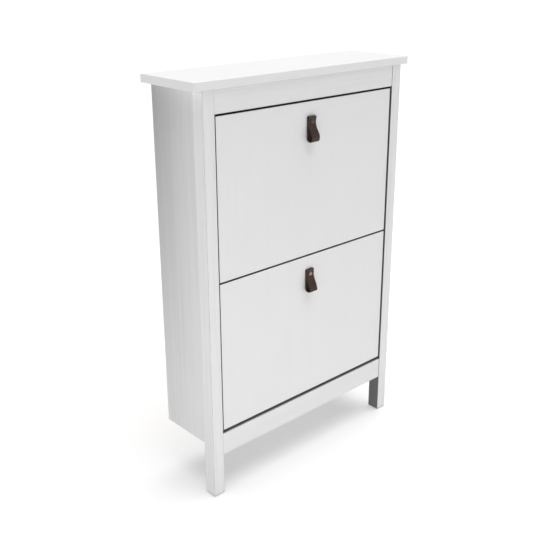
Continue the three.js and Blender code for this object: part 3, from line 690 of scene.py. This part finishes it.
def strap_mesh(name, centre, face, seed, loop):
    """The folded strap: its section carried along the loop's line, with the hide's own unevenness."""
    line = loop_line(**loop)
    section = strap_section()
    built = bmesh.new()
    rings = []
    for i, spot in enumerate(line):
        way = (line[min(i + 1, len(line) - 1)] - line[max(i - 1, 0)]).normalized()
        through = Vector((-way.y, way.x))
        ends = min(i, len(line) - 1 - i)
        trim = CUT_END[ends] if ends < len(CUT_END) else 1.0
        ring = []
        for across, thick in section:
            ripple = unevenness(RIPPLE, across, i, seed)
            pores = unevenness(PORES, across, i, seed + 4)
            at = spot + through * (thick * trim + ripple + pores)
            if spot.x > FRONT_LEAF - 0.0004:
                near_screw = math.hypot(across, at.y)
                at.x -= DISH["depth"] * math.exp(-((near_screw / DISH["radius"]) ** 4))
            wave = noise.noise(Vector((i * EDGE_WAVE["along"], seed * 3, 0)))
            edge_wave = 1 + EDGE_WAVE["share"] * wave
            ring.append(built.verts.new((centre.x + across * edge_wave, face - at.x, centre.z + at.y)))
        rings.append(ring)
    for first, second in zip(rings, rings[1:]):
        for k in range(len(section)):
            j = (k + 1) % len(section)
            built.faces.new((first[k], first[j], second[j], second[k]))
    built.faces.new(list(reversed(rings[0])))
    built.faces.new(rings[-1])
    bmesh.ops.recalc_face_normals(built, faces=built.faces[:])
    mesh = bpy.data.meshes.new(name)
    built.to_mesh(mesh)
    built.free()
    mesh.shade_smooth()
    mesh.set_sharp_from_angle(angle=math.radians(50))
    return mesh


leather, tree, shader, where = start_finish("saddle_leather", 0.5, Specular_IOR_Level=0.36)
pebble = graph_node(
    tree, "TexVoronoi", {"Vector": where, "Scale": 900.0}, feature="DISTANCE_TO_EDGE",
).outputs["Distance"]
crease = stretch(tree, pebble, 0.0, 0.12)
hide = cloud(tree, where, 120, detail=5, roughness=0.6)
pull_up = cloud(tree, where, [40, 40, 90], detail=3)
colour = tint(tree, stretch(tree, hide, 0.3, 0.7), (0.022, 0.011, 0.008), (0.052, 0.025, 0.017))
colour = tint(tree, stretch(tree, pull_up, 0.45, 0.7, 0, 0.45), colour, (0.085, 0.040, 0.028))
dark_crease = stretch(tree, crease, 0, 1, 0.45, 0)
colour = tint(tree, dark_crease, colour, (0.018, 0.010, 0.008))
burnished = maths(tree, "MULTIPLY", arris(tree, 0.0012), 0.7)
tree.links.new(tint(tree, burnished, colour, (0.012, 0.009, 0.008)), shader.inputs["Base Color"])
tree.links.new(stretch(tree, hide, 0.3, 0.7, 0.4, 0.62), shader.inputs["Roughness"])
relief(tree, shader, maths(tree, "ADD", crease, hide), 0.00012, 0.7)

copper = worn_metal("copper_plate", (0.46, 0.285, 0.22), (0.28, 0.165, 0.12), 0.36)
# Painted shade: the upper pull's screw head is a darker copy of the copper.
copper_in_shade = worn_metal("copper_in_shade", (0.15, 0.11, 0.088), (0.09, 0.064, 0.05), 0.42)
PULL_METAL = {"lower": copper, "upper": copper_in_shade}
HEAD = {"radius": 0.006, "height": 0.003, "rim": 0.0006, "edge": 0.0002, "shank": 0.0024}
DOME_STEPS = 10
SLEEVE = {"flange": 0.007, "lip": 0.0015, "radius": 0.0035}

for level in LEVELS:
    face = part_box(f"{level}_flap")[0].y
    centre = middle(f"{level}_pull_screw")
    node = f"{level}_pull_strap"
    mesh = strap_mesh(f"{node}_leather", centre, face, 7.0 + 5 * LEVELS.index(level), LOOPS[level])
    shown_piece(f"{node}_leather", mesh, leather, f"{level}_flap", node)

    node = f"{level}_pull_screw"
    low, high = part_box(node)
    end = high.y - low.y
    rise, radius, shank, edge = HEAD["height"], HEAD["radius"], HEAD["shank"], HEAD["edge"]
    angles = [math.pi / 2 * i / DOME_STEPS for i in range(DOME_STEPS + 1)]
    screw = [(radius * math.sin(a), (rise - HEAD["rim"]) * (1 - math.cos(a))) for a in angles]
    screw += [(radius, rise - edge), (radius - edge, rise), (shank, rise), (shank, end), (0, end)]
    mesh = turn(f"{node}_turned", screw, (centre.x, low.y, centre.z), (0, 1, 0), sides=48)
    shown_piece(f"{node}_turned", mesh, PULL_METAL[level], f"{level}_flap", node)

    node = f"{level}_pull_sleeve_nut"
    low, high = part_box(node)
    bore = HEAD["shank"] + SEAM
    flange, lip, tube = SLEEVE["flange"], SLEEVE["lip"], SLEEVE["radius"]
    end = high.y - low.y
    nut = [
        (bore, EDGE), (bore + EDGE, 0), (flange - EDGE, 0), (flange, EDGE), (flange, lip),
        (tube, lip), (tube, end), (bore, end), (bore, EDGE),
    ]
    mesh = turn(f"{node}_turned", nut, (centre.x, high.y, centre.z), (0, -1, 0))
    shown_piece(f"{node}_turned", mesh, copper, f"{level}_flap", node)

# ---------------------------------------------------------------------------- floor and light
# A plain white studio floor, lit a little from below. The light is a wide soft one overhead, a
# pale band round the horizon, and two small low fills at the left front and the front. The
# backdrop that the camera sees is white.

floor_mesh = bpy.data.meshes.new("floor")
REACH = 40
corners = [(-REACH, -REACH, 0), (REACH, -REACH, 0), (REACH, REACH, 0), (-REACH, REACH, 0)]
floor_mesh.from_pydata(corners, [], [(0, 1, 2, 3)])
floor = bpy.data.objects.new("floor", floor_mesh)
scene.collection.objects.link(floor)
floor_white, _, shader, _ = start_finish("floor_white", 0.8)
shader.inputs["Base Color"].default_value = (0.62, 0.62, 0.62, 1)
shader.inputs["Emission Color"].default_value = (1, 1, 1, 1)
shader.inputs["Emission Strength"].default_value = 0.34
floor_mesh.materials.append(floor_white)


def soft_light(name, size, power, place, aim):
    """A rectangular soft box of a size in metres and a power in watts, turned towards a point."""
    lamp = bpy.data.lights.new(name, "AREA")
    lamp.shape = "RECTANGLE"
    lamp.size, lamp.size_y = size
    lamp.energy = power
    made = bpy.data.objects.new(name, lamp)
    scene.collection.objects.link(made)
    made.location = place
    made.rotation_euler = (Vector(aim) - Vector(place)).to_track_quat("-Z", "Y").to_euler()


soft_light("low_fill", (0.5, 0.5), 2.0, (-1.35, -0.66, 0.4), (-0.37, -0.08, 0.45))
soft_light("front_fill", (1.0, 0.3), 0.65, (0, -0.95, 0.22), (0, -0.1, 0.22))

overhead = bpy.data.lights.new("overhead", "SUN")
overhead.energy = 3.1
overhead.angle = math.radians(60)
overhead_rig = bpy.data.objects.new("overhead", overhead)
scene.collection.objects.link(overhead_rig)
overhead_rig.rotation_euler = Vector((0.13, -0.045, 0.98)).to_track_quat("Z", "Y").to_euler()

sky = bpy.data.worlds.new("studio")
scene.world = sky
sky.use_nodes = True
tree = sky.node_tree
direction = tree.nodes.new("ShaderNodeTexCoord").outputs["Generated"]
upward = graph_node(tree, "SeparateXYZ", {0: direction}).outputs[2]
light = stretch(tree, upward, 0.28, 0.5, 0.60, 0.2)
seen = tree.nodes.new("ShaderNodeLightPath").outputs["Is Camera Ray"]
tree.links.new(maths(tree, "MAXIMUM", light, seen), tree.nodes["Background"].inputs["Strength"])
tree.nodes["Background"].inputs["Color"].default_value = (1, 1, 1, 1)
scene.view_settings.view_transform = "Standard"
